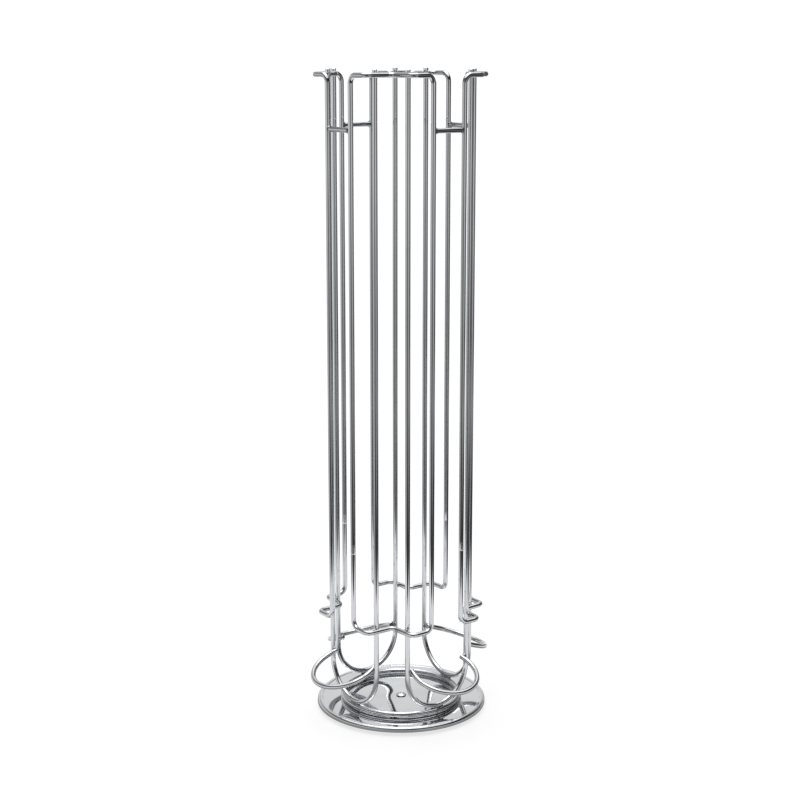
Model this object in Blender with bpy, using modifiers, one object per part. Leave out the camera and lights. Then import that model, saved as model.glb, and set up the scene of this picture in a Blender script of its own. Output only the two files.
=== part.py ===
"""Revolving chromed wire tower that stores coffee capsules in four vertical lanes.

Metres, +Z up. The origin is on the turning axis, at the surface the tower stands on.
Lane 1 faces +X, and lanes 2 to 4 follow counterclockwise. Corner frame 1 stands between
lanes 1 and 2. The foot stays still, and everything above it turns about Z.
"""

import math

import bmesh
import bpy
from mathutils import Matrix, Vector

MM = 0.001
LANES = 4
ROOT_2 = math.sqrt(2)

# The capsule that a lane holds: its round rim slides down between the wires.
CAPSULE_RIM_D = 53.5 * MM
CAPSULES_PER_LANE = 8
STACK_SPARE = 5.0 * MM
EXIT_SPARE = 3.3 * MM
RIM_CHANNEL = 6.2 * MM
RIM_LAP = 0.65 * MM

# Wire cage
WIRE_D = 3.5 * MM
RING_WIRE_D = 4.0 * MM
WELD_GAP = 0.25 * MM
LANE_RADIUS = 41.4 * MM
FRONT_GAP = 22.3 * MM
END_RISE = 3.6 * MM
CROSSBAR_DROP = 35.2 * MM
RAIL_ANGLE = math.radians(43)
BUMP_OFFSET = 4.5 * MM
RAIL_BEND_R = 4.5 * MM
CORNER_BEND_R = 5.5 * MM

# Cradle hoops, which catch the lowest capsule of each lane
HOOP_TILT = math.radians(20.4)
HOOP_RISE = 28.7 * MM
HOOP_DEPTH = 32.0 * MM
HOOP_WELD_OVERRUN = 0.5 * MM
HOOP_TIP_OVERRUN = 0.8 * MM

# Base
SHEET = 0.8 * MM
PLATE_MARGIN = 18.9 * MM
SKIRT_HEIGHT = 3.6 * MM
EDGE_R = 2.2 * MM
RIM_STEP = 0.4 * MM
RIM_WIDTH = 3.4 * MM
FOOT_INSET = 12.3 * MM
FOOT_SHEET = 1.0 * MM
FOOT_EDGE = 0.3 * MM
PAD_THICKNESS = 1.0 * MM
PAD_INSET = 2.0 * MM
PAD_HOLE_R = 8.0 * MM
REST_GAP = 0.3 * MM

# Ball bearing and its centre rivet
BALL_D = 2.5 * MM
BALLS = 12
BALL_GAP = 0.2 * MM
BALL_INSET = 14.0 * MM
RACE_DEPTH = 0.3 * MM
RACE_HALF_WIDTH = 0.8 * MM
RETAINER_HALF_WIDTH = 5.0 * MM
RETAINER_THICKNESS = 1.2 * MM
POCKET_CLEARANCE = 0.25 * MM
RIVET_SHANK_R = 2.0 * MM
RIVET_CLEARANCE = 0.25 * MM
RIVET_HEAD_R = 3.6 * MM
RIVET_HEAD_HEIGHT = 1.5 * MM
RIVET_TAIL_R = 3.2 * MM
RIVET_TAIL_HEIGHT = 0.7 * MM

# Facets
BEND_STEP = math.radians(20)
LANE_BEND_STEPS = 14
RING_STEPS = 48
HOOP_STEPS = 20
TURNED_STEPS = 48
RIVET_STEPS = 20
ARC_STEPS = 4

# Heights, from the table up
foot_under_z = PAD_THICKNESS + REST_GAP
foot_top_z = foot_under_z + FOOT_SHEET
ball_z = foot_top_z - RACE_DEPTH + BALL_GAP + BALL_D / 2
plate_under_z = ball_z + BALL_D / 2 + BALL_GAP
plate_top_z = plate_under_z + SHEET
ring_z = plate_top_z + WELD_GAP + RING_WIRE_D / 2
lane_bend_z = ring_z + (RING_WIRE_D + WIRE_D) / 2 + WELD_GAP
lane_floor_z = lane_bend_z + WIRE_D / 2
bottom_rail_z = lane_floor_z + CAPSULE_RIM_D + EXIT_SPARE + WIRE_D / 2
top_rail_z = lane_floor_z + CAPSULES_PER_LANE * CAPSULE_RIM_D + STACK_SPARE
crossbar_z = top_rail_z - CROSSBAR_DROP
lane_wire_top_z = top_rail_z + END_RISE
hoop_z = lane_floor_z + HOOP_RISE

# Places in plan. In a lane, x points outwards and y to the left. A frame sits half a lane on.
lane_half = CAPSULE_RIM_D / 2 - RIM_LAP
upright_x = LANE_RADIUS + WIRE_D + RIM_CHANNEL
upright_y = FRONT_GAP / 2 + WIRE_D / 2
frame_out = (upright_x + upright_y) / ROOT_2
frame_half = (upright_x - upright_y) / ROOT_2
lane_wire_out = (LANE_RADIUS + lane_half) / ROOT_2
lane_wire_side = (LANE_RADIUS - lane_half) / ROOT_2
plate_radius = LANE_RADIUS + PLATE_MARGIN
foot_radius = plate_radius - FOOT_INSET
ball_circle_r = foot_radius - BALL_INSET


def clear_scene():
    for obj in list(bpy.data.objects):
        bpy.data.objects.remove(obj, do_unlink=True)


def new_collection(name):
    collection = bpy.data.collections.new(name)
    bpy.context.scene.collection.children.link(collection)
    return collection


def principled(name, color, metallic, roughness):
    material = bpy.data.materials.new(name)
    material.use_nodes = True
    shader = material.node_tree.nodes["Principled BSDF"]
    shader.inputs["Base Color"].default_value = (*color, 1.0)
    shader.inputs["Metallic"].default_value = metallic
    shader.inputs["Roughness"].default_value = roughness
    return material


def add_object(name, data, collection, parent, turn=0.0):
    """Links an object that shows this data, turned about Z under its parent."""
    obj = bpy.data.objects.new(name, data)
    obj.rotation_euler.z = turn
    obj.parent = parent
    collection.objects.link(obj)
    return obj


def add_axis(name, collection):
    """An empty on the turning axis, which carries the pieces that turn with it."""
    empty = bpy.data.objects.new(name, None)
    empty.empty_display_type = "SINGLE_ARROW"
    empty.empty_display_size = plate_radius
    collection.objects.link(empty)
    return empty


def wire_curve(name, points, material, closed=False, diameter=WIRE_D):
    """A wire of round section along these points, with flat ends unless it is closed."""
    curve = bpy.data.curves.new(name, "CURVE")
    curve.dimensions = "3D"
    curve.bevel_depth = diameter / 2
    curve.bevel_resolution = 2
    curve.use_fill_caps = not closed
    spline = curve.splines.new("POLY")
    spline.points.add(len(points) - 1)
    for spot, point in zip(spline.points, points):
        spot.co = (*point, 1.0)
    spline.use_cyclic_u = closed
    curve.materials.append(material)
    return curve


def bent_path(corners, radii):
    """A closed wire path, straight between its corners and bent round each to its radius."""
    points = []
    for i, corner in enumerate(corners):
        before = (corners[i - 1] - corner).normalized()
        after = (corners[(i + 1) % len(corners)] - corner).normalized()
        turn = math.pi - before.angle(after)
        inward = (before + after).normalized()
        centre = corner + inward * radii[i] / math.cos(turn / 2)
        arm = corner + before * radii[i] * math.tan(turn / 2) - centre
        steps = max(2, round(turn / BEND_STEP))
        for k in range(steps + 1):
            bend = Matrix.Rotation(turn * k / steps, 3, after.cross(before))
            points.append(centre + bend @ arm)
    return points


def arc(centre_x, centre_y, radius, start, end, steps):
    """Points (x, y) on an arc, both ends included."""
    angles = [start + (end - start) * k / steps for k in range(steps + 1)]
    return [(centre_x + radius * math.cos(a), centre_y + radius * math.sin(a)) for a in angles]


def frame_path():
    """The closed loop of a corner frame: x outwards, y along its face.

    Each rail runs from an upright out to a bump, in past a lane wire to a notch, and back.
    """
    slope = math.tan(RAIL_ANGLE)
    weld = WIRE_D + WELD_GAP
    beside_x = lane_wire_out + weld * math.cos(RAIL_ANGLE)
    beside_y = lane_wire_side - weld * math.sin(RAIL_ANGLE)
    bump_y = lane_wire_side + BUMP_OFFSET
    bump_x = beside_x + slope * (bump_y - beside_y)
    notch_x = beside_x - slope * beside_y
    plan = [
        (frame_out, -frame_half, CORNER_BEND_R),
        (bump_x, -bump_y, RAIL_BEND_R),
        (notch_x, 0.0, RAIL_BEND_R),
        (bump_x, bump_y, RAIL_BEND_R),
        (frame_out, frame_half, CORNER_BEND_R),
    ]
    bottom = [(Vector((x, y, bottom_rail_z)), r) for x, y, r in plan]
    top = [(Vector((x, y, top_rail_z)), r) for x, y, r in reversed(plan)]
    return bent_path([corner for corner, _ in bottom + top], [r for _, r in bottom + top])


def lane_wire_path():
    """Two uprights joined by a half-round bend that stands on the base ring."""
    bend = arc(0.0, lane_bend_z + lane_half, lane_half, 0.0, -math.pi, LANE_BEND_STEPS)
    ends = [(lane_half, lane_wire_top_z), (-lane_half, lane_wire_top_z)]
    return [Vector((LANE_RADIUS, y, z)) for y, z in [ends[0], *bend, ends[1]]]


def hoop_path(side):
    """A tilted round hoop. Its ends pass inside the two lane wires: one is welded, one is free.

    It is drawn flat, with u down its slope from the lane wires' plane and v along the lane's
    face, and then tilted.
    """
    beside = WIRE_D + WELD_GAP
    radius = (HOOP_DEPTH**2 + lane_half**2 - beside**2) / (2 * (HOOP_DEPTH + beside))
    centre_u = HOOP_DEPTH - radius
    welded_end = math.acos(-(centre_u + HOOP_WELD_OVERRUN) / radius)
    free_end = math.acos(-(centre_u + HOOP_TIP_OVERRUN) / radius)
    flat = arc(centre_u, 0.0, radius, -welded_end, free_end, HOOP_STEPS)
    run, fall = math.cos(HOOP_TILT), math.sin(HOOP_TILT)
    return [Vector((LANE_RADIUS + u * run, -side * v, hoop_z - u * fall)) for u, v in flat]


def turned(name, profile, steps, material, collection, parent):
    """A piece turned about Z from a closed outline, which runs down its outer side."""
    mesh = bpy.data.meshes.new(name)
    edges = [(i, (i + 1) % len(profile)) for i in range(len(profile))]
    mesh.from_pydata([(r, 0.0, z) for r, z in profile], edges, [])
    mesh.materials.append(material)
    obj = add_object(name, mesh, collection, parent)
    screw = obj.modifiers.new("Turn", "SCREW")
    screw.steps = steps
    screw.render_steps = steps
    screw.use_merge_vertices = True
    screw.merge_threshold = 0.00001
    screw.use_smooth_shade = True
    return obj


def base_plate_profile():
    """A pressed tray, upside down: a flat floor, a small step up, a round edge and a skirt."""
    hole_r = RIVET_SHANK_R + RIVET_CLEARANCE
    rim_top = plate_top_z + RIM_STEP
    floor_r = plate_radius - RIM_WIDTH - RIM_STEP
    rim_r = plate_radius - RIM_WIDTH
    edge_x = plate_radius - EDGE_R
    edge_z = rim_top - EDGE_R
    skirt_z = rim_top - SKIRT_HEIGHT
    outer = arc(edge_x, edge_z, EDGE_R, math.pi / 2, 0.0, ARC_STEPS)
    inner = arc(edge_x, edge_z, EDGE_R - SHEET, 0.0, math.pi / 2, ARC_STEPS)
    top = [(hole_r, plate_top_z), (floor_r, plate_top_z), (rim_r, rim_top)]
    skirt = [(plate_radius, skirt_z), (plate_radius - SHEET, skirt_z)]
    under = [(rim_r, rim_top - SHEET), (floor_r, plate_under_z), (hole_r, plate_under_z)]
    return top + outer + skirt + inner + under


def foot_plate_profile():
    """A disc with chamfered edges and a shallow race for the balls."""
    hole_r = RIVET_SHANK_R + RIVET_CLEARANCE
    race_z = foot_top_z - RACE_DEPTH
    race = [
        (ball_circle_r - RACE_HALF_WIDTH, foot_top_z),
        (ball_circle_r - RACE_HALF_WIDTH / 2, race_z),
        (ball_circle_r + RACE_HALF_WIDTH / 2, race_z),
        (ball_circle_r + RACE_HALF_WIDTH, foot_top_z),
    ]
    edge = [
        (foot_radius - FOOT_EDGE, foot_top_z),
        (foot_radius, foot_top_z - FOOT_EDGE),
        (foot_radius, foot_under_z + FOOT_EDGE),
        (foot_radius - FOOT_EDGE, foot_under_z),
    ]
    return [(hole_r, foot_top_z), *race, *edge, (hole_r, foot_under_z)]


def ring_profile(inner_r, outer_r, bottom_z, top_z):
    return [(inner_r, top_z), (outer_r, top_z), (outer_r, bottom_z), (inner_r, bottom_z)]


def rivet_profile():
    """Domed head above the base plate, shank through the bearing, and peened tail."""
    head_z = plate_top_z + REST_GAP
    tail_top_z = foot_under_z - REST_GAP
    dome = (RIVET_HEAD_R**2 + RIVET_HEAD_HEIGHT**2) / (2 * RIVET_HEAD_HEIGHT)
    sweep = math.asin(RIVET_HEAD_R / dome)
    centre_z = head_z + RIVET_HEAD_HEIGHT - dome
    head = arc(0.0, centre_z, dome, math.pi / 2, math.pi / 2 - sweep, ARC_STEPS)
    shank = [(RIVET_SHANK_R, head_z), (RIVET_SHANK_R, tail_top_z)]
    tail_z = tail_top_z - RIVET_TAIL_HEIGHT
    tail = [(RIVET_TAIL_R, tail_top_z), (RIVET_TAIL_R, tail_z), (0.0, tail_z)]
    return head + shank + tail


def add_rivet(material, collection, parent):
    """The rivet is solid on the axis, so its outline is open there."""
    rivet = turned("pivot_rivet", rivet_profile(), RIVET_STEPS, material, collection, parent)
    mesh = bmesh.new()
    mesh.from_mesh(rivet.data)
    on_axis = [e for e in mesh.edges if all(abs(v.co.x) < MM / 1000 for v in e.verts)]
    bmesh.ops.delete(mesh, geom=on_axis, context="EDGES")
    mesh.to_mesh(rivet.data)
    mesh.free()


def cylinder_mesh(name, radius, height):
    mesh = bpy.data.meshes.new(name)
    shape = bmesh.new()
    bmesh.ops.create_cone(
        shape, cap_ends=True, segments=12, radius1=radius, radius2=radius, depth=height
    )
    shape.to_mesh(mesh)
    shape.free()
    return mesh


def ball_mesh(material):
    mesh = bpy.data.meshes.new("bearing_ball")
    shape = bmesh.new()
    bmesh.ops.create_uvsphere(shape, u_segments=10, v_segments=6, radius=BALL_D / 2)
    shape.to_mesh(mesh)
    shape.free()
    mesh.shade_smooth()
    mesh.materials.append(material)
    return mesh


def add_bearing(parts, cutters, parent):
    """The balls and the flat ring that spaces them, with a pocket for each ball."""
    outline = ring_profile(
        ball_circle_r - RETAINER_HALF_WIDTH,
        ball_circle_r + RETAINER_HALF_WIDTH,
        ball_z - RETAINER_THICKNESS / 2,
        ball_z + RETAINER_THICKNESS / 2,
    )
    nylon = principled("white_nylon", (0.85, 0.84, 0.80), 0.0, 0.45)
    retainer = turned("ball_retainer", outline, TURNED_STEPS, nylon, parts, parent)
    ball = ball_mesh(principled("ball_steel", (0.72, 0.72, 0.73), 1.0, 0.12))
    pocket = cylinder_mesh("pocket", BALL_D / 2 + POCKET_CLEARANCE, 3 * RETAINER_THICKNESS)
    for i in range(BALLS):
        angle = 2 * math.pi * (i + 0.5) / BALLS
        spot = (ball_circle_r * math.cos(angle), ball_circle_r * math.sin(angle), ball_z)
        add_object(f"bearing_ball_{i + 1:02d}", ball, parts, parent).location = spot
        cutter = add_object(f"pocket_cutter_{i + 1:02d}", pocket, cutters, parent)
        cutter.location = spot
        cutter.hide_render = True
        cutter.display_type = "WIRE"
        cut = retainer.modifiers.new(f"Pocket {i + 1}", "BOOLEAN")
        cut.operation = "DIFFERENCE"
        cut.object = cutter


def add_foot(parts, parent):
    pad = ring_profile(PAD_HOLE_R, foot_radius - PAD_INSET, 0.0, PAD_THICKNESS)
    foam = principled("black_foam", (0.02, 0.02, 0.02), 0.0, 0.85)
    zinc = principled("zinc_plated_steel", (0.60, 0.61, 0.63), 1.0, 0.35)
    turned("foot_pad", pad, TURNED_STEPS, foam, parts, parent)
    turned("foot_plate", foot_plate_profile(), TURNED_STEPS, zinc, parts, parent)
    add_rivet(principled("rivet_chrome", (0.80, 0.81, 0.82), 1.0, 0.08), parts, parent)


def add_cage(parts, parent):
    """The wires, each welded where it passes or meets another."""
    chrome = principled("wire_chrome", (0.78, 0.79, 0.80), 1.0, 0.07)
    around = arc(0.0, 0.0, LANE_RADIUS, 0.0, 2 * math.pi, RING_STEPS)[:-1]
    circle = [Vector((x, y, ring_z)) for x, y in around]
    ring = wire_curve("base_ring", circle, chrome, True, RING_WIRE_D)
    add_object("base_ring", ring, parts, parent)

    crossbar_half = upright_y - WIRE_D / 2 - REST_GAP
    crossbar_ends = [Vector((upright_x, y, crossbar_z)) for y in (-crossbar_half, crossbar_half)]
    lane_wire = wire_curve("lane_wire", lane_wire_path(), chrome)
    crossbar = wire_curve("front_crossbar", crossbar_ends, chrome)
    frame = wire_curve("corner_frame", frame_path(), chrome, True)
    hoops = {side: wire_curve("cradle_hoop", hoop_path(side), chrome) for side in (-1, 1)}
    for i in range(LANES):
        lane_turn = 2 * math.pi * i / LANES
        hoop = hoops[1 if i % 2 else -1]
        add_object(f"lane_wire_{i + 1}", lane_wire, parts, parent, lane_turn)
        add_object(f"front_crossbar_{i + 1}", crossbar, parts, parent, lane_turn)
        add_object(f"cradle_hoop_{i + 1}", hoop, parts, parent, lane_turn)
        add_object(f"corner_frame_{i + 1}", frame, parts, parent, lane_turn + math.pi / LANES)


def main():
    clear_scene()
    parts = new_collection("capsule_tower")
    cutters = new_collection("cutters")
    foot_axis = add_axis("foot_axis", parts)
    turntable_axis = add_axis("turntable_axis", parts)
    retainer_axis = add_axis("retainer_axis", parts)

    add_foot(parts, foot_axis)
    add_bearing(parts, cutters, retainer_axis)
    mirror = principled("plate_chrome", (0.76, 0.77, 0.78), 1.0, 0.05)
    turned("base_plate", base_plate_profile(), TURNED_STEPS, mirror, parts, turntable_axis)
    add_cage(parts, turntable_axis)


main()
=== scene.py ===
"""Looks of the revolving capsule tower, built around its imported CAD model.

Lengths are millimetres. Bump distances, noise in object space and the studio are in metres.
Lane 1 faces +X, lanes 2 to 4 follow counterclockwise, and corner frame 1 stands between
lanes 1 and 2, as in the CAD.
"""

import math

import bmesh
import bpy
from mathutils import Matrix, Vector, noise


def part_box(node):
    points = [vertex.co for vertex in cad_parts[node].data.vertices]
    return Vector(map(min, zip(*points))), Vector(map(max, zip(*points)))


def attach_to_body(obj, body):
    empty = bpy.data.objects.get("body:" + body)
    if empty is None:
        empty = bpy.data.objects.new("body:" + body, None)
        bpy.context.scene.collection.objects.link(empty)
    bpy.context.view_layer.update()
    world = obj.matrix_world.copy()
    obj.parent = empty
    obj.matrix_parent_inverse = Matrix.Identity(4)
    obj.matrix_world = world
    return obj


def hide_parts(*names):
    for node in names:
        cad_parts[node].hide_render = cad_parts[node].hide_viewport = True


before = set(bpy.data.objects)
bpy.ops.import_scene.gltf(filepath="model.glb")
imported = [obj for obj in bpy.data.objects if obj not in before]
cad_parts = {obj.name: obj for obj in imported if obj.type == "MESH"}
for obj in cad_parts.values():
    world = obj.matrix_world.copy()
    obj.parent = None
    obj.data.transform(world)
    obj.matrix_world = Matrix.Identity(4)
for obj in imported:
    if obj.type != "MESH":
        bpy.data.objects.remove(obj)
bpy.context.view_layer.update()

MM = 0.001
ROOT_2 = math.sqrt(2)
LANES = 4
BALLS = 12
X_AXIS = Vector((1.0, 0.0, 0.0))
Y_AXIS = Vector((0.0, 1.0, 0.0))
UP = Vector((0.0, 0.0, 1.0))

# Wires and plate, as in the CAD
WIRE_R = 1.75
RING_R = 2.0
WELD_GAP = 0.25
BAR_END_GAP = 0.3
LANE_RADIUS = 41.4
LANE_HALF = 26.1
UPRIGHT_X = 51.1
UPRIGHT_Y = 12.9
RAIL_ANGLE = math.radians(43)
BUMP_OFFSET = 4.5
RAIL_BEND_R = 4.5
CORNER_BEND_R = 5.5
HOOP_TILT = math.radians(20.4)
HOOP_DEPTH = 32.0
HOOP_WELD_OVERRUN = 0.5
HOOP_TIP_OVERRUN = 0.8
PLATE_RADIUS = 60.3

frame_out = (UPRIGHT_X + UPRIGHT_Y) / ROOT_2
frame_half = (UPRIGHT_X - UPRIGHT_Y) / ROOT_2
wire_out = (LANE_RADIUS + LANE_HALF) / ROOT_2
wire_side = (LANE_RADIUS - LANE_HALF) / ROOT_2
beside = 2 * WIRE_R + WELD_GAP
rail_x = wire_out + beside * math.cos(RAIL_ANGLE)
rail_y = wire_side - beside * math.sin(RAIL_ANGLE)
bar_half = UPRIGHT_Y - WIRE_R - BAR_END_GAP

# Heights, read from the CAD nodes
lane_low, lane_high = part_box("lane_wire_1")
frame_low, frame_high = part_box("corner_frame_1")
bar_low, bar_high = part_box("front_crossbar_1")
ring_low, ring_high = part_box("base_ring")
hoop_low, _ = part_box("cradle_hoop_1")
plate_low, plate_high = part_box("base_plate")
rivet_low, rivet_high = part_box("pivot_rivet")
lane_top_z = lane_high.z / MM
lane_bend_z = lane_low.z / MM + WIRE_R
bottom_rail_z = frame_low.z / MM + WIRE_R
top_rail_z = frame_high.z / MM - WIRE_R
crossbar_z = (bar_low.z + bar_high.z) / 2 / MM
ring_z = (ring_low.z + ring_high.z) / 2 / MM
rim_top_z = plate_high.z / MM
plate_top_z = ring_z - RING_R - WELD_GAP

# How finely the pieces are drawn
WIRE_SIDES = 28
TURNED_SIDES = 200
RIVET_SIDES = 64
LONGEST_STEP = 6.0
SHORTEST_STEP = 0.12
BEND_STEP = math.radians(6)
LANE_BEND_STEPS = 48
HOOP_STEPS = 64
RING_STEPS = 180
WIRE_SHARP = 40
TURNED_SHARP = 50

# A wire's chamfered ends, and how far it strays from its path. An open wire's ends don't stray.
# The stray has a fixed seed, because noise_vector otherwise starts from the clock.
CHAMFER_DEPTH = 0.35
CHAMFER_LENGTH = 0.3
STRAY = 0.05
STRAY_LENGTH = 70
STEADY_END = 8
STRAY_SEED = 1

# The butt weld of a closed loop: its height on a corner frame, and the collar that it leaves
BUTT_WELD_Z = 126.0
COLLAR_STEP = 0.3
COLLAR_STEPS = 9
COLLAR_WIDTH = 0.45
COLLAR_RISE = 0.06
COLLAR_UNEVEN = 0.10
COLLAR_GRAIN_ROUND = 1.3
COLLAR_GRAIN_ALONG = 1.7

# Weld beads, as half-sizes on their three axes. Those at a crossing are round, so they have two.
BEAD_ROWS = 12
BEAD_COLUMNS = 20
BEAD_UNEVEN = 0.28
BEAD_GRAIN = 2.1
BAR_WELD = (2.15, 2.25, 1.0)
BEND_WELD = (5.5, 1.5, 1.0)
TACK_WELD = (2.2, 1.6, 0.6)
HOOP_WELD = (1.9, 1.0)
RAIL_WELD = (1.75, 0.95)
HOOP_WELD_SHARE = 0.3
BEND_WELD_RISE = 0.1
TACK_RISE = 0.2

# Seeds of the uneven shapes. All but the ring's are multiplied by the number of the lane or corner.
SEEDS = {
    "ring": 0.37,
    "lane": 1.13,
    "frame": 2.31,
    "bar": 3.7,
    "hoop": 4.9,
    "hoop_weld": 1.7,
    "bend_weld": 2.9,
    "rail_weld": 5.1,
    "tack": 7.7,
}

# The wires' texture coordinate, in millimetres along and across, and how far a seed moves it along
WIRE_PLACE = "wire_place"
TEXTURE_SHIFT = 500

# How much larger the clouds of a plain finish are than its grain
CLOUD_SIZE = 12


# ---------------------------------------------------------------- materials

def new_material(name):
    material = bpy.data.materials.new(name)
    material.use_nodes = True
    tree = material.node_tree
    return material, tree, tree.nodes["Principled BSDF"]


def feed(tree, socket, value):
    """Links the socket to an output, or sets it to a plain value."""
    if isinstance(value, bpy.types.NodeSocket):
        tree.links.new(value, socket)
    else:
        socket.default_value = value


def noise_node(tree, vector, scale, detail, roughness=0.5):
    node = tree.nodes.new("ShaderNodeTexNoise")
    feed(tree, node.inputs["Vector"], vector)
    feed(tree, node.inputs["Scale"], scale)
    feed(tree, node.inputs["Detail"], detail)
    feed(tree, node.inputs["Roughness"], roughness)
    return node.outputs["Fac"]


def wire_noise(tree, along, across, detail, roughness=0.5):
    """Noise on a wire, with this many waves per millimetre along it and across it."""
    place = tree.nodes.new("ShaderNodeAttribute")
    place.attribute_name = WIRE_PLACE
    scaled = tree.nodes.new("ShaderNodeMapping")
    feed(tree, scaled.inputs["Vector"], place.outputs["Vector"])
    feed(tree, scaled.inputs["Scale"], (along, across, across))
    return noise_node(tree, scaled.outputs["Vector"], 1.0, detail, roughness)


def map_range(tree, value, low, high, to_low=0.0, to_high=1.0):
    node = tree.nodes.new("ShaderNodeMapRange")
    feed(tree, node.inputs["Value"], value)
    feed(tree, node.inputs["From Min"], low)
    feed(tree, node.inputs["From Max"], high)
    feed(tree, node.inputs["To Min"], to_low)
    feed(tree, node.inputs["To Max"], to_high)
    return node.outputs["Result"]


def math_node(tree, operation, *values):
    node = tree.nodes.new("ShaderNodeMath")
    node.operation = operation
    for socket, value in zip(node.inputs, values):
        feed(tree, socket, value)
    return node.outputs["Value"]


def vector_math(tree, operation, *values):
    node = tree.nodes.new("ShaderNodeVectorMath")
    node.operation = operation
    for socket, value in zip(node.inputs, values):
        feed(tree, socket, value)
    return node.outputs["Value"]


def mix_colors(tree, factor, first, second):
    node = tree.nodes.new("ShaderNodeMix")
    node.data_type = "RGBA"
    feed(tree, node.inputs["Factor"], factor)
    feed(tree, node.inputs["A"], first)
    feed(tree, node.inputs["B"], second)
    return node.outputs["Result"]


def mix_shaders(tree, factor, first, second):
    node = tree.nodes.new("ShaderNodeMixShader")
    for socket, value in zip(node.inputs, (factor, first, second)):
        feed(tree, socket, value)
    return node.outputs["Shader"]


def bump(tree, height, strength, distance, under=None):
    node = tree.nodes.new("ShaderNodeBump")
    feed(tree, node.inputs["Height"], height)
    feed(tree, node.inputs["Strength"], strength)
    feed(tree, node.inputs["Distance"], distance)
    if under:
        feed(tree, node.inputs["Normal"], under)
    return node.outputs["Normal"]


def opaque(red, green, blue):
    return (red, green, blue, 1.0)


def wire_chrome(name, bright, dim, haze, pits):
    """Bright chrome over drawn wire: long draw lines, soft waves, hazy patches and small pits."""
    material, tree, shader = new_material(name)
    waves = wire_noise(tree, along=0.05, across=0.25, detail=2.0)
    lines = wire_noise(tree, along=0.03, across=2.6, detail=3.0, roughness=0.6)
    patches = wire_noise(tree, along=0.06, across=0.35, detail=4.0, roughness=0.6)
    specks = wire_noise(tree, along=3.2, across=3.2, detail=2.0, roughness=0.7)
    spots = map_range(tree, specks, low=0.68, high=0.76)
    worn = map_range(tree, patches, low=0.35, high=0.75)
    rough = map_range(tree, patches, 0.3, 0.8, *haze)
    streaked = math_node(tree, "MULTIPLY_ADD", lines, 0.01, rough)
    soft = bump(tree, waves, strength=0.12, distance=0.0002)
    drawn = bump(tree, lines, strength=0.06, distance=0.00001, under=soft)
    pitted = bump(tree, spots, strength=0.10, distance=0.00001, under=drawn)
    feed(tree, shader.inputs["Base Color"], mix_colors(tree, worn, bright, dim))
    feed(tree, shader.inputs["Metallic"], 1.0)
    feed(tree, shader.inputs["Roughness"], math_node(tree, "MULTIPLY_ADD", spots, pits, streaked))
    feed(tree, shader.inputs["Normal"], pitted)
    return material


def spin_lines(tree, coordinate):
    """Fine noise that changes only with the distance from the turning axis."""
    split = tree.nodes.new("ShaderNodeSeparateXYZ")
    feed(tree, split.inputs["Vector"], coordinate)
    squares = [math_node(tree, "MULTIPLY", split.outputs[axis], split.outputs[axis]) for axis in "XY"]
    radius = math_node(tree, "SQRT", math_node(tree, "ADD", *squares))
    rings = tree.nodes.new("ShaderNodeTexNoise")
    rings.noise_dimensions = "1D"
    feed(tree, rings.inputs["W"], radius)
    feed(tree, rings.inputs["Scale"], 1400.0)
    feed(tree, rings.inputs["Detail"], 3.0)
    return rings.outputs["Fac"]


def plate_chrome(name, bright, dim, haze, pits):
    """Mirror chrome on pressed sheet: faint spin lines round the axis, soft waves and light wear."""
    material, tree, shader = new_material(name)
    coordinate = tree.nodes.new("ShaderNodeTexCoord").outputs["Object"]
    lines = spin_lines(tree, coordinate)
    waves = noise_node(tree, coordinate, scale=28.0, detail=1.0)
    patches = noise_node(tree, coordinate, scale=55.0, detail=5.0, roughness=0.65)
    specks = noise_node(tree, coordinate, scale=1500.0, detail=2.0, roughness=0.7)
    spots = map_range(tree, specks, low=0.70, high=0.78)
    worn = map_range(tree, patches, low=0.45, high=0.75)
    rough = map_range(tree, patches, 0.3, 0.8, *haze)
    spun = math_node(tree, "MULTIPLY_ADD", lines, 0.02, rough)
    soft = bump(tree, waves, strength=0.4, distance=0.0006)
    feed(tree, shader.inputs["Base Color"], mix_colors(tree, worn, bright, dim))
    feed(tree, shader.inputs["Metallic"], 1.0)
    feed(tree, shader.inputs["Roughness"], math_node(tree, "MULTIPLY_ADD", spots, pits, spun))
    feed(tree, shader.inputs["Normal"], bump(tree, lines, strength=0.12, distance=0.00001, under=soft))
    return material


def plain_finish(name, light, dark, metallic, rough, scale, depth):
    """A finish with fine grain in its roughness and relief, and broad clouds in its colour."""
    material, tree, shader = new_material(name)
    coordinate = tree.nodes.new("ShaderNodeTexCoord").outputs["Object"]
    grain = noise_node(tree, coordinate, scale, detail=5.0, roughness=0.65)
    cloud = noise_node(tree, coordinate, scale / CLOUD_SIZE, detail=3.0, roughness=0.6)
    shade = map_range(tree, cloud, low=0.3, high=0.7)
    feed(tree, shader.inputs["Base Color"], mix_colors(tree, shade, light, dark))
    feed(tree, shader.inputs["Metallic"], metallic)
    feed(tree, shader.inputs["Roughness"], map_range(tree, grain, 0.25, 0.75, *rough))
    feed(tree, shader.inputs["Normal"], bump(tree, grain, strength=0.5, distance=depth))
    return material


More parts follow.
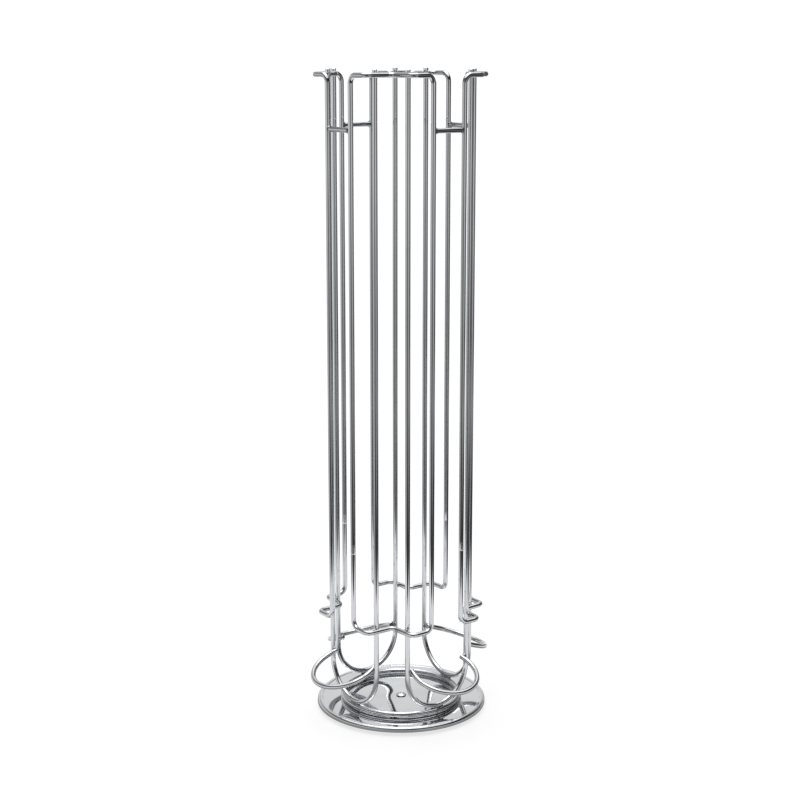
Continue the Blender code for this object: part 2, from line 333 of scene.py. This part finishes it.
CHROME = wire_chrome(
    "wire_chrome_finish",
    bright=opaque(0.70, 0.71, 0.73),
    dim=opaque(0.63, 0.64, 0.66),
    haze=(0.0, 0.03),
    pits=0.10,
)
WELD = wire_chrome(
    "weld_chrome_finish",
    bright=opaque(0.38, 0.38, 0.39),
    dim=opaque(0.22, 0.22, 0.23),
    haze=(0.12, 0.28),
    pits=0.2,
)
PLATE = plate_chrome(
    "plate_chrome_finish",
    bright=opaque(0.73, 0.75, 0.765),
    dim=opaque(0.66, 0.68, 0.70),
    haze=(0.01, 0.06),
    pits=0.15,
)
RIVET = plain_finish(
    "rivet_chrome_finish",
    light=opaque(0.68, 0.69, 0.70),
    dark=opaque(0.58, 0.59, 0.60),
    metallic=1.0,
    rough=(0.03, 0.10),
    scale=900.0,
    depth=0.00001,
)
ZINC = plain_finish(
    "zinc_finish",
    light=opaque(0.62, 0.63, 0.64),
    dark=opaque(0.45, 0.46, 0.49),
    metallic=1.0,
    rough=(0.28, 0.48),
    scale=700.0,
    depth=0.00003,
)
STEEL = plain_finish(
    "ball_steel_finish",
    light=opaque(0.66, 0.66, 0.67),
    dark=opaque(0.55, 0.55, 0.56),
    metallic=1.0,
    rough=(0.05, 0.14),
    scale=1500.0,
    depth=0.000005,
)
NYLON = plain_finish(
    "nylon_finish",
    light=opaque(0.86, 0.85, 0.80),
    dark=opaque(0.78, 0.77, 0.71),
    metallic=0.0,
    rough=(0.38, 0.55),
    scale=1200.0,
    depth=0.00003,
)
FOAM = plain_finish(
    "foam_finish",
    light=opaque(0.030, 0.030, 0.031),
    dark=opaque(0.015, 0.015, 0.016),
    metallic=0.0,
    rough=(0.8, 0.98),
    scale=1600.0,
    depth=0.00025,
)


# ---------------------------------------------------------------- mesh tools

def add_piece(name, mesh, material, body, nodes):
    """Links a finished piece, which rides on this body and stands for these CAD nodes."""
    mesh.materials.append(material)
    piece = bpy.data.objects.new(name, mesh)
    bpy.context.scene.collection.objects.link(piece)
    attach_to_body(piece, body)
    if nodes:
        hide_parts(*nodes)


def arc(centre_x, centre_y, radius, start, end, steps):
    angles = [start + (end - start) * k / steps for k in range(steps + 1)]
    return [(centre_x + radius * math.cos(a), centre_y + radius * math.sin(a)) for a in angles]


def bent_path(corners, radii):
    """A closed path, straight between its corners and bent round each to its radius."""
    points = []
    for i, corner in enumerate(corners):
        before = (corners[i - 1] - corner).normalized()
        after = (corners[(i + 1) % len(corners)] - corner).normalized()
        turn = math.pi - before.angle(after)
        inward = (before + after).normalized()
        centre = corner + inward * radii[i] / math.cos(turn / 2)
        arm = corner + before * radii[i] * math.tan(turn / 2) - centre
        steps = max(3, round(turn / BEND_STEP))
        for k in range(steps + 1):
            points.append(centre + Matrix.Rotation(turn * k / steps, 3, after.cross(before)) @ arm)
    return points


def stations(points, closed):
    """The path with more points, on long straights and after a loop's butt weld, and its length.

    Each point comes with its distance along the path.
    """
    loop = points + [points[0]] if closed else points
    marks = [0.0]
    for a, b in zip(loop, loop[1:]):
        marks.append(marks[-1] + (b - a).length)
    length = marks[-1]
    wanted = list(marks)
    for a, b in zip(marks, marks[1:]):
        count = max(1, round((b - a) / LONGEST_STEP))
        wanted += [a + (b - a) * k / count for k in range(1, count)]
    if closed:
        wanted += [COLLAR_STEP * k for k in range(COLLAR_STEPS + 1)]
    wanted.sort()
    kept = [wanted[0]]
    for mark in wanted[1:]:
        if mark - kept[-1] > SHORTEST_STEP:
            kept.append(mark)
    if length - kept[-1] < SHORTEST_STEP:
        kept[-1] = length
    if closed:
        kept.pop()
    placed = []
    i = 0
    for mark in kept:
        while i < len(marks) - 2 and marks[i + 1] < mark:
            i += 1
        share = (mark - marks[i]) / (marks[i + 1] - marks[i])
        placed.append((mark, loop[i].lerp(loop[i + 1], share)))
    return placed, length


def carried_normals(points, closed):
    """A tangent and a sideways vector at each point, carried along without twist."""
    count = len(points)
    tangents = []
    for i in range(count):
        before = points[i - 1] if closed or i else points[i]
        after = points[(i + 1) % count] if closed or i < count - 1 else points[i]
        tangents.append((after - before).normalized())
    start = tangents[0].orthogonal().normalized()
    sides = [start]
    for a, b in zip(tangents, tangents[1:] + tangents[:1]):
        turned_side = a.rotation_difference(b) @ sides[-1]
        sides.append((turned_side - b * turned_side.dot(b)).normalized())
    last = sides.pop()
    if closed:
        slip = math.atan2(last.cross(start).dot(tangents[0]), last.dot(start))
        sides = [
            Matrix.Rotation(slip * i / count, 3, tangents[i]) @ side for i, side in enumerate(sides)
        ]
    return tangents, sides


def finish_mesh(mesh, sharp=None):
    """Smooth shading, with edges over this many degrees kept sharp."""
    mesh.update()
    mesh.shade_smooth()
    if sharp:
        mesh.set_sharp_from_angle(angle=math.radians(sharp))
    return mesh


def store_wire_place(mesh, places):
    attribute = mesh.attributes.new(WIRE_PLACE, "FLOAT_VECTOR", "POINT")
    attribute.data.foreach_set("vector", [number for place in places for number in place])


def wire_mesh(name, points, radius, closed, seed):
    """A round wire along a path. A closed loop starts at its butt weld, under a low, uneven collar."""
    placed, length = stations(points, closed)
    marks = [mark for mark, _ in placed]
    centres = [centre for _, centre in placed]
    tangents, sides = carried_normals(centres, closed)
    tips = []
    if not closed:
        tips = [(marks[k], centres[k], tangents[k], sides[k], radius - CHAMFER_DEPTH) for k in (0, -1)]
        centres[0] = centres[0] + tangents[0] * CHAMFER_LENGTH
        centres[-1] = centres[-1] - tangents[-1] * CHAMFER_LENGTH
    rings = [(*place, radius) for place in zip(marks, centres, tangents, sides)]
    rings = tips[:1] + rings + tips[1:]

    vertices = []
    places = []
    for mark, centre, tangent, side, size in rings:
        other = tangent.cross(side)
        collar = math.exp(-((min(mark, length - mark) / COLLAR_WIDTH) ** 2)) if closed else 0.0
        if closed or STEADY_END <= mark <= length - STEADY_END:
            centre = centre + noise.noise_vector(Vector((mark / STRAY_LENGTH, seed, 0.5))) * STRAY
        for k in range(WIRE_SIDES):
            angle = 2 * math.pi * k / WIRE_SIDES
            out = side * math.cos(angle) + other * math.sin(angle)
            grain = noise.noise(out * COLLAR_GRAIN_ROUND + Vector((mark * COLLAR_GRAIN_ALONG, seed, 0)))
            reach = size + collar * (COLLAR_RISE + COLLAR_UNEVEN * grain)
            vertices.append((centre + out * reach) * MM)
            places.append((mark + TEXTURE_SHIFT * seed, size * math.cos(angle), size * math.sin(angle)))

    faces = []
    count = len(rings)
    for i in range(count if closed else count - 1):
        j = (i + 1) % count
        for k in range(WIRE_SIDES):
            n = (k + 1) % WIRE_SIDES
            corners = ((i, k), (i, n), (j, n), (j, k))
            faces.append(tuple(ring * WIRE_SIDES + place for ring, place in corners))
    if not closed:
        faces.append(tuple(reversed(range(WIRE_SIDES))))
        faces.append(tuple(range((count - 1) * WIRE_SIDES, count * WIRE_SIDES)))
    mesh = bpy.data.meshes.new(name)
    mesh.from_pydata(vertices, [], faces)
    store_wire_place(mesh, places)
    return finish_mesh(mesh, WIRE_SHARP)


def bead(centre, axes, sizes, seed):
    """A small lump of weld metal: an ellipsoid with an uneven skin, as (points, faces)."""
    points = [centre + axes[2] * sizes[2], centre - axes[2] * sizes[2]]
    for i in range(1, BEAD_ROWS):
        polar = math.pi * i / BEAD_ROWS
        for k in range(BEAD_COLUMNS):
            turn = 2 * math.pi * k / BEAD_COLUMNS
            level = math.sin(polar)
            ball = Vector((level * math.cos(turn), level * math.sin(turn), math.cos(polar)))
            lump = 1 + BEAD_UNEVEN * noise.noise(ball * BEAD_GRAIN + Vector((seed, seed / 3, 0)))
            point = sum((axis * size * c for axis, size, c in zip(axes, sizes, ball)), Vector())
            points.append(centre + point * lump)
    faces = []
    last = 2 + (BEAD_ROWS - 2) * BEAD_COLUMNS
    for k in range(BEAD_COLUMNS):
        n = (k + 1) % BEAD_COLUMNS
        faces.append((0, 2 + k, 2 + n))
        faces.append((1, last + n, last + k))
        for a in range(2, last, BEAD_COLUMNS):
            b = a + BEAD_COLUMNS
            faces.append((a + k, b + k, b + n, a + n))
    return points, faces


def crossing_bead(first, second, sizes, seed):
    """The bead where two wires pass, between points on their centrelines. Sizes: (round, between)."""
    across = (second - first).normalized()
    along = (UP - across * UP.dot(across)).normalized()
    spread, depth = sizes
    return bead((first + second) / 2, (along, across.cross(along), across), (spread, spread, depth), seed)


def bead_mesh(name, beads):
    """Several beads made one mesh, with their positions as the wires' texture coordinate."""
    vertices = []
    faces = []
    for points, polygons in beads:
        base = len(vertices)
        vertices += [p * MM for p in points]
        faces += [tuple(base + i for i in polygon) for polygon in polygons]
    mesh = bpy.data.meshes.new(name)
    mesh.from_pydata(vertices, [], faces)
    store_wire_place(mesh, [v / MM for v in vertices])
    return finish_mesh(mesh)


def turned_mesh(name, profile, sides):
    """A piece turned about Z. The closed outline runs down its outer side, with radius 0 allowed."""
    on_axis = [r < 1e-6 for r, _ in profile]
    vertices = []
    starts = []
    for (r, z), lone in zip(profile, on_axis):
        starts.append(len(vertices))
        if lone:
            vertices.append((0.0, 0.0, z * MM))
        else:
            angles = [2 * math.pi * k / sides for k in range(sides)]
            vertices += [(r * MM * math.cos(a), r * MM * math.sin(a), z * MM) for a in angles]
    faces = []
    for i, top in enumerate(starts):
        j = (i + 1) % len(starts)
        low = starts[j]
        if on_axis[i] and on_axis[j]:
            continue
        for k in range(sides):
            n = (k + 1) % sides
            if on_axis[i]:
                faces.append((top, low + k, low + n))
            elif on_axis[j]:
                faces.append((top + k, low, top + n))
            else:
                faces.append((top + k, low + k, low + n, top + n))
    mesh = bpy.data.meshes.new(name)
    mesh.from_pydata(vertices, [], faces)
    return finish_mesh(mesh, TURNED_SHARP)


def rounded(profile, radii, steps=5):
    """A closed outline, with each corner eased over the length that its radius would take."""
    result = []
    for i, (x, z) in enumerate(profile):
        if not radii[i]:
            result.append((x, z))
            continue
        corner = Vector((x, z))
        before = (Vector(profile[i - 1]) - corner).normalized()
        after = (Vector(profile[(i + 1) % len(profile)]) - corner).normalized()
        turn = math.pi - before.angle(after)
        reach = radii[i] * math.tan(turn / 2)
        for k in range(steps + 1):
            share = k / steps
            a = corner + before * reach * (1 - share)
            b = corner + after * reach * share
            result.append(tuple(a.lerp(b, share)))
    return result


# ---------------------------------------------------------------- the wires

def add_wire(name, points, node, seed, radius=WIRE_R, closed=False):
    mesh = wire_mesh(name, points, radius, closed, seed)
    add_piece(name, mesh, CHROME, "carousel", [node])


def add_welds(name, beads):
    add_piece(name, bead_mesh(name, beads), WELD, "carousel", [])


def ring_path():
    start = math.radians(-45)
    around = arc(0.0, 0.0, LANE_RADIUS, start, start + 2 * math.pi, RING_STEPS)
    return [Vector((x, y, ring_z)) for x, y in around[:-1]]


def lane_wire_path():
    bend = arc(0.0, lane_bend_z + LANE_HALF, LANE_HALF, 0.0, -math.pi, LANE_BEND_STEPS)
    outline = [(LANE_HALF, lane_top_z), *bend, (-LANE_HALF, lane_top_z)]
    return [Vector((LANE_RADIUS, y, z)) for y, z in outline]


def frame_path():
    """The closed loop of a corner frame, which starts at its butt weld."""
    slope = math.tan(RAIL_ANGLE)
    bump_y = wire_side + BUMP_OFFSET
    bump_x = rail_x + slope * (bump_y - rail_y)
    notch_x = rail_x - slope * rail_y
    plan = [
        (frame_out, -frame_half, CORNER_BEND_R),
        (bump_x, -bump_y, RAIL_BEND_R),
        (notch_x, 0.0, RAIL_BEND_R),
        (bump_x, bump_y, RAIL_BEND_R),
        (frame_out, frame_half, CORNER_BEND_R),
    ]
    bottom = [(Vector((x, y, bottom_rail_z)), r) for x, y, r in plan]
    top = [(Vector((x, y, top_rail_z)), r) for x, y, r in reversed(plan)]
    path = bent_path([c for c, _ in bottom + top], [r for _, r in bottom + top])
    return [Vector((frame_out, -frame_half, BUTT_WELD_Z))] + path


def crossbar_path():
    return [Vector((UPRIGHT_X, y, crossbar_z)) for y in (-bar_half, 0.0, bar_half)]


def hoop_path(side):
    """A tilted round hoop, from the end welded to the lane wire on this side to the free end."""
    radius = (HOOP_DEPTH**2 + LANE_HALF**2 - beside**2) / (2 * (HOOP_DEPTH + beside))
    centre_u = HOOP_DEPTH - radius
    welded_end = math.acos(-(centre_u + HOOP_WELD_OVERRUN) / radius)
    free_end = math.acos(-(centre_u + HOOP_TIP_OVERRUN) / radius)
    flat = arc(centre_u, 0.0, radius, -welded_end, free_end, HOOP_STEPS)
    run = math.cos(HOOP_TILT)
    fall = math.sin(HOOP_TILT)
    hoop_z = hoop_low.z / MM + WIRE_R * run + HOOP_DEPTH * fall
    return [Vector((LANE_RADIUS + u * run, -side * v, hoop_z - u * fall)) for u, v in flat]


def lane_beads(number, spin, side):
    """Beads at both ends of the crossbar, at the hoop's welded end, and under the lane wire's bend."""
    out = spin @ X_AXIS
    across = spin @ Y_AXIS
    beads = []
    for y in (-1, 1):
        end = spin @ Vector((UPRIGHT_X, y * (bar_half + BAR_END_GAP / 2), crossbar_z))
        beads.append(bead(end, (out, UP, across), BAR_WELD, number + y))
    hoop = hoop_path(side)
    attach = hoop[0].lerp(hoop[1], HOOP_WELD_SHARE)
    upright = Vector((LANE_RADIUS, side * LANE_HALF, attach.z))
    beads.append(crossing_bead(spin @ attach, spin @ upright, HOOP_WELD, number * SEEDS["hoop_weld"]))
    low = spin @ Vector((LANE_RADIUS, 0.0, (lane_bend_z + ring_z) / 2 + BEND_WELD_RISE))
    beads.append(bead(low, (across, out, UP), BEND_WELD, number * SEEDS["bend_weld"]))
    return beads


def corner_beads(number, spin):
    """Beads where both rails of a corner frame pass the lane wires, and one between ring and plate."""
    beads = []
    for z in (bottom_rail_z, top_rail_z):
        for y in (-1, 1):
            rail = spin @ Vector((rail_x, y * rail_y, z))
            upright = spin @ Vector((wire_out, y * wire_side, z))
            beads.append(crossing_bead(rail, upright, RAIL_WELD, number * SEEDS["rail_weld"] + y + z))
    tack = spin @ Vector((LANE_RADIUS, 0.0, plate_top_z + TACK_RISE))
    axes = (spin @ Y_AXIS, spin @ X_AXIS, UP)
    beads.append(bead(tack, axes, TACK_WELD, number * SEEDS["tack"]))
    return beads


def add_lane_and_corner(number):
    """The wires and welds of a lane and of the corner after it. The hoops' welded sides alternate."""
    turn = math.pi / 2 * (number - 1)
    lane_spin = Matrix.Rotation(turn, 3, "Z")
    corner_spin = Matrix.Rotation(turn + math.pi / 4, 3, "Z")
    side = -1 if number % 2 else 1
    lane_wire = [lane_spin @ p for p in lane_wire_path()]
    corner_frame = [corner_spin @ p for p in frame_path()]
    crossbar = [lane_spin @ p for p in crossbar_path()]
    hoop = [lane_spin @ p for p in hoop_path(side)]
    add_wire(f"lane_wire_{number}_fine", lane_wire, f"lane_wire_{number}", number * SEEDS["lane"])
    add_wire(
        f"corner_frame_{number}_fine",
        corner_frame,
        f"corner_frame_{number}",
        number * SEEDS["frame"],
        closed=True,
    )
    add_wire(f"crossbar_{number}_fine", crossbar, f"front_crossbar_{number}", number * SEEDS["bar"])
    add_wire(f"hoop_{number}_fine", hoop, f"cradle_hoop_{number}", number * SEEDS["hoop"])
    add_welds(f"lane_{number}_welds", lane_beads(number, lane_spin, side))
    add_welds(f"corner_{number}_welds", corner_beads(number, corner_spin))


noise.seed_set(STRAY_SEED)
add_wire("ring_wire", ring_path(), "base_ring", SEEDS["ring"], RING_R, closed=True)
for lane in range(1, LANES + 1):
    add_lane_and_corner(lane)


# ---------------------------------------------------------------- the base

def base_plate_profile():
    """A pressed tray, upside down: a flat floor, a small step up, a round edge and a skirt."""
    sheet = 0.8
    edge_r = 2.2
    step = 0.4
    rim_width = 3.4
    hole_r = 2.25
    outer_steps = 12
    inner_steps = 8
    rim_r = PLATE_RADIUS - rim_width
    floor_r = rim_r - step
    edge_x = PLATE_RADIUS - edge_r
    edge_z = rim_top_z - edge_r
    skirt_z = plate_low.z / MM
    under_z = plate_top_z - sheet
    top = [(hole_r, plate_top_z), (floor_r, plate_top_z), (rim_r, rim_top_z)]
    outer = arc(edge_x, edge_z, edge_r, math.pi / 2, 0.0, outer_steps)
    skirt = [(PLATE_RADIUS, skirt_z), (PLATE_RADIUS - sheet, skirt_z)]
    inner = arc(edge_x, edge_z, edge_r - sheet, 0.0, math.pi / 2, inner_steps)
    under = [(rim_r, rim_top_z - sheet), (floor_r, under_z), (hole_r, under_z)]
    radii = [0.1, 0.25, 0.2] + [0] * len(outer) + [0.15, 0.15] + [0] * len(inner) + [0.2, 0.3, 0.1]
    return rounded(top + outer + skirt + inner + under, radii)


def rivet_profile():
    """A domed head with a small rolled edge above the plate, the shank, and the peened tail."""
    head_r = 3.6
    head_gap = 0.3
    edge_height = 0.35
    edge_r = 0.2
    edge_chamfer = 0.12
    shank_r = 2.0
    tail_r = 3.2
    tail_end_r = 2.9
    tail_height = 0.6
    tail_slope = 0.1
    head_z = plate_top_z + head_gap
    head_top = rivet_high.z / MM
    tail_z = rivet_low.z / MM
    rise = head_top - head_z - edge_height
    dome_r = ((head_r - edge_r) ** 2 + rise**2) / (2 * rise)
    sweep = math.asin((head_r - edge_r) / dome_r)
    head = arc(0.0, head_top - dome_r, dome_r, math.pi / 2, math.pi / 2 - sweep, 10)
    edge = [(head_r, head_z + edge_r), (head_r - edge_chamfer, head_z)]
    shank = [(shank_r, head_z), (shank_r, tail_z + tail_height + tail_slope)]
    tail = [(tail_r, tail_z + tail_height), (tail_end_r, tail_z), (0.0, tail_z)]
    return head + edge + shank + tail


def add_ball(node):
    """A smooth ball in the place and size of this CAD ball."""
    low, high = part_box(node)
    ball = bmesh.new()
    bmesh.ops.create_icosphere(ball, subdivisions=3, radius=(high.z - low.z) / 2)
    bmesh.ops.translate(ball, verts=ball.verts, vec=(low + high) / 2)
    mesh = bpy.data.meshes.new(node)
    ball.to_mesh(mesh)
    ball.free()
    add_piece(f"{node}_fine", finish_mesh(mesh), STEEL, "bearing", [node])


plate = turned_mesh("base_plate_fine", base_plate_profile(), TURNED_SIDES)
add_piece("base_plate_fine", plate, PLATE, "carousel", ["base_plate"])
rivet = turned_mesh("rivet_fine", rivet_profile(), RIVET_SIDES)
add_piece("rivet_fine", rivet, RIVET, "foot", ["pivot_rivet"])

for node, finish in (("foot_pad", FOAM), ("foot_plate", ZINC), ("ball_retainer", NYLON)):
    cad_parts[node].material_slots[0].material = finish

for number in range(1, BALLS + 1):
    add_ball(f"bearing_ball_{number:02d}")


# ---------------------------------------------------------------- the studio, in metres

CAMERA_PLACE = (0.88448, -0.67437, 0.46526)
CAMERA_TURN = (math.radians(77.765), 0.0, math.radians(52.72))
LENS = 73.574
SENSOR = 36.0
NEAREST = 0.01
FARTHEST = 50.0
TO_CAMERA = (math.sin(CAMERA_TURN[2]), -math.cos(CAMERA_TURN[2]), 0.0)
TO_RIGHT = (math.cos(CAMERA_TURN[2]), math.sin(CAMERA_TURN[2]), 0.0)
TO_LEFT = (-TO_RIGHT[0], -TO_RIGHT[1], 0.0)
BACKDROP = 1.05

# The table top: a wide disc, which fades out for the camera between two distances from the axis
TABLE_R = 1.4
TABLE_SIDES = 96
TABLE_Z = -0.0002
TABLE_FADE = (0.255, 0.345)
TABLE_GLOW = 0.72
TABLE_GREY = 0.32

# The white sheet that the chrome sees on it: its edges, how soft they are, and the painted shadow
# of the tower on it, which darkens the sheet near the tower (from, to, dark, light)
SHEET_FRONT = 0.315
SHEET_RIGHT = 0.28
SHEET_LEFT = 0.33
SHEET_EDGE = 0.02
SHEET_PAINTED_SHADOW = (0.09, 0.15, 0.32, 0.94)

SOFTBOX_PLACE = (-0.2, 0.1, 1.9)
SOFTBOX_SIZE = 1.1
SOFTBOX_POWER = 11.0

# What the chrome reflects, by height above the horizon in degrees. In each band, brightness by
# angle round the tower: 0 is towards the camera, and angles grow to the camera's right. Below
# the horizon these are the dark room and its panels past the edge of the white sheet.
BANDS = [
    (-40, [
        (-180, 0.5), (-120, 0.4), (-60, 0.25), (-20, 0.06), (0, 0.02), (60, 0.02), (120, 0.08), (180, 0.5),
    ]),
    (-17, [
        (-180, 0.3), (-130, 0.3), (-100, 0.5), (-60, 0.3), (-38, 0.2), (-22, 0.04), (-8, 0.0), (10, 0.0),
        (22, 0.1), (34, 0.12), (50, 0.02), (80, 0.02), (115, 0.1), (180, 0.3),
    ]),
    (-15, [
        (-180, 0.2), (-130, 0.15), (-100, 0.6), (-75, 0.6), (-50, 0.25), (-22, 0.04), (-8, 0.0), (6, 0.08),
        (20, 0.38), (34, 0.3), (50, 0.02), (90, 0.06), (115, 0.04), (180, 0.2),
    ]),
    (-12.5, [
        (-180, 0.2), (-130, 0.25), (-100, 0.75), (-75, 0.6), (-50, 0.25), (-10, 0.08), (4, 0.2), (20, 0.55),
        (34, 0.3), (50, 0.05), (68, 0.3), (90, 0.5), (115, 0.3), (140, 0.05), (180, 0.2),
    ]),
    (-10, [
        (-180, 0.2), (-130, 0.3), (-100, 0.8), (-75, 0.5), (-50, 0.25), (-35, 0.35), (-8, 0.05), (6, 0.12),
        (20, 0.5), (40, 0.45), (65, 0.15), (115, 0.04), (180, 0.25),
    ]),
    (-7, [
        (-180, 0.3), (-130, 0.5), (-90, 0.65), (-60, 0.5), (-35, 0.4), (-8, 0.05), (6, 0.15), (20, 0.6),
        (34, 0.7), (50, 0.4), (68, 0.1), (90, 0.25), (140, 0.02), (180, 0.3),
    ]),
    (-4, [
        (-180, 0.4), (-130, 0.6), (-100, 0.8), (-55, 0.7), (-35, 0.45), (-15, 0.15), (0, 0.2), (20, 0.65),
        (36, 0.75), (52, 0.5), (68, 0.15), (100, 0.2), (140, 0.05), (180, 0.35),
    ]),
    (-1, [
        (-180, 0.4), (-130, 0.65), (-90, 0.7), (-55, 0.95), (-38, 0.7), (-22, 0.15), (-8, 0.03), (6, 0.15),
        (20, 0.55), (36, 0.75), (52, 0.6), (68, 0.25), (90, 0.06), (150, 0.02), (180, 0.4),
    ]),
    (5, [
        (-180, 1.0), (-120, 0.8), (-60, 0.5), (-25, 0.35), (-10, 0.12), (18, 0.08), (28, 0.3), (60, 0.3),
        (72, 0.05), (130, 0.2), (155, 0.8), (180, 1.0),
    ]),
    (20, [
        (-180, 0.8), (-150, 0.4), (-120, 0.12), (-75, 0.08), (-30, 0.2), (-8, 0.15), (10, 0.02), (60, 0.01),
        (110, 0.03), (145, 0.15), (165, 0.6), (180, 0.8),
    ]),
    (42, [
        (-180, 1.05), (-140, 0.6), (-110, 0.25), (-75, 0.15), (-25, 0.08), (0, 0.03), (60, 0.02),
        (110, 0.05), (145, 0.5), (180, 1.05),
    ]),
    (50, [(-180, 1.3), (-90, 1.2), (0, 1.15), (90, 1.2), (180, 1.3)]),
]


def add_camera():
    camera = bpy.data.objects.new("camera", bpy.data.cameras.new("camera"))
    camera.data.lens = LENS
    camera.data.sensor_width = SENSOR
    camera.data.clip_start = NEAREST
    camera.data.clip_end = FARTHEST
    camera.location = CAMERA_PLACE
    camera.rotation_euler = CAMERA_TURN
    bpy.context.scene.collection.objects.link(camera)
    bpy.context.scene.camera = camera


def light_path(tree, ray):
    return tree.nodes.new("ShaderNodeLightPath").outputs[ray]


def band_ramp(tree, turn, stops):
    """The brightness of one band, from the angle as a share of a full turn."""
    node = tree.nodes.new("ShaderNodeValToRGB")
    elements = node.color_ramp.elements
    for angle, _ in stops[2:]:
        elements.new((angle + 180) / 360)
    for element, (angle, grey) in zip(elements, stops):
        element.position = (angle + 180) / 360
        element.color = opaque(grey, grey, grey)
    feed(tree, node.inputs["Fac"], turn)
    return node.outputs["Color"]


def banded_room(tree):
    """The colour of the room in each direction, blended from band to band."""
    direction = tree.nodes.new("ShaderNodeTexCoord").outputs["Generated"]
    rotated = tree.nodes.new("ShaderNodeVectorRotate")
    rotated.rotation_type = "Z_AXIS"
    feed(tree, rotated.inputs["Vector"], direction)
    feed(tree, rotated.inputs["Angle"], -CAMERA_TURN[2])
    split = tree.nodes.new("ShaderNodeSeparateXYZ")
    feed(tree, split.inputs["Vector"], rotated.outputs["Vector"])
    x, y, z = (split.outputs[axis] for axis in "XYZ")
    angle = math_node(tree, "ARCTAN2", x, math_node(tree, "MULTIPLY", y, -1.0))
    turn = map_range(tree, angle, -math.pi, math.pi)
    height = math_node(tree, "ARCSINE", z)
    color = band_ramp(tree, turn, BANDS[0][1])
    for (low, _), (high, stops) in zip(BANDS, BANDS[1:]):
        share = map_range(tree, height, math.radians(low), math.radians(high))
        color = mix_colors(tree, share, color, band_ramp(tree, turn, stops))
    return color


def studio_world():
    """A white backdrop for the camera, and the banded room for everything else."""
    world = bpy.data.worlds.new("studio")
    bpy.context.scene.world = world
    world.use_nodes = True
    tree = world.node_tree
    tree.nodes.clear()
    room = tree.nodes.new("ShaderNodeBackground")
    feed(tree, room.inputs["Color"], banded_room(tree))
    white = tree.nodes.new("ShaderNodeBackground")
    feed(tree, white.inputs["Color"], opaque(1.0, 1.0, 1.0))
    feed(tree, white.inputs["Strength"], BACKDROP)
    camera_ray = light_path(tree, "Is Camera Ray")
    both = mix_shaders(tree, camera_ray, room.outputs["Background"], white.outputs["Background"])
    output = tree.nodes.new("ShaderNodeOutputWorld")
    feed(tree, output.inputs["Surface"], both)


def seen_table(tree, distance):
    """What the camera sees: a pale, softly shaded top that fades out."""
    glow = tree.nodes.new("ShaderNodeEmission")
    feed(tree, glow.inputs["Strength"], TABLE_GLOW)
    matt = tree.nodes.new("ShaderNodeBsdfDiffuse")
    feed(tree, matt.inputs["Color"], opaque(TABLE_GREY, TABLE_GREY, TABLE_GREY))
    both = tree.nodes.new("ShaderNodeAddShader")
    feed(tree, both.inputs[0], glow.outputs["Emission"])
    feed(tree, both.inputs[1], matt.outputs["BSDF"])
    clear = tree.nodes.new("ShaderNodeBsdfTransparent").outputs["BSDF"]
    return mix_shaders(tree, map_range(tree, distance, *TABLE_FADE), both.outputs["Shader"], clear)


def mirrored_sheet(tree, place, distance):
    """What the chrome sees: a white sheet up to its edges, with a painted shadow that darkens it near the
    tower.
    """
    sheet = tree.nodes.new("ShaderNodeEmission")
    # Painted shadow: the sheet's glow is dimmer near the tower, standing in for the tower's shade on it.
    feed(tree, sheet.inputs["Strength"], map_range(tree, distance, *SHEET_PAINTED_SHADOW))
    clear = tree.nodes.new("ShaderNodeBsdfTransparent").outputs["BSDF"]
    edges = []
    for way, reach in ((TO_CAMERA, SHEET_FRONT), (TO_RIGHT, SHEET_RIGHT), (TO_LEFT, SHEET_LEFT)):
        along = vector_math(tree, "DOT_PRODUCT", place, way)
        edges.append(map_range(tree, along, reach - SHEET_EDGE, reach + SHEET_EDGE))
    front, right, left = edges
    past = math_node(tree, "MAXIMUM", front, math_node(tree, "MAXIMUM", right, left))
    return mix_shaders(tree, past, sheet.outputs["Emission"], clear)


def add_table():
    around = arc(0.0, 0.0, TABLE_R, 0.0, 2 * math.pi, TABLE_SIDES)[:-1]
    mesh = bpy.data.meshes.new("table_top")
    mesh.from_pydata([(x, y, TABLE_Z) for x, y in around], [], [tuple(range(TABLE_SIDES))])
    material, tree, shader = new_material("table")
    tree.nodes.remove(shader)
    place = tree.nodes.new("ShaderNodeTexCoord").outputs["Object"]
    distance = vector_math(tree, "LENGTH", place)
    seen = seen_table(tree, distance)
    mirrored = mirrored_sheet(tree, place, distance)
    surface = mix_shaders(tree, light_path(tree, "Is Glossy Ray"), seen, mirrored)
    feed(tree, tree.nodes["Material Output"].inputs["Surface"], surface)
    mesh.materials.append(material)
    table = bpy.data.objects.new("table_top", mesh)
    bpy.context.scene.collection.objects.link(table)


def add_softbox():
    """A square soft light above the tower, turned towards its foot."""
    light = bpy.data.lights.new("top_softbox", "AREA")
    light.shape = "SQUARE"
    light.size = SOFTBOX_SIZE
    light.energy = SOFTBOX_POWER
    lamp = bpy.data.objects.new("top_softbox", light)
    lamp.location = SOFTBOX_PLACE
    lamp.rotation_euler = (-Vector(SOFTBOX_PLACE)).to_track_quat("-Z", "Y").to_euler()
    bpy.context.scene.collection.objects.link(lamp)


add_camera()
studio_world()
add_table()
add_softbox()
bpy.context.scene.view_settings.view_transform = "Standard"
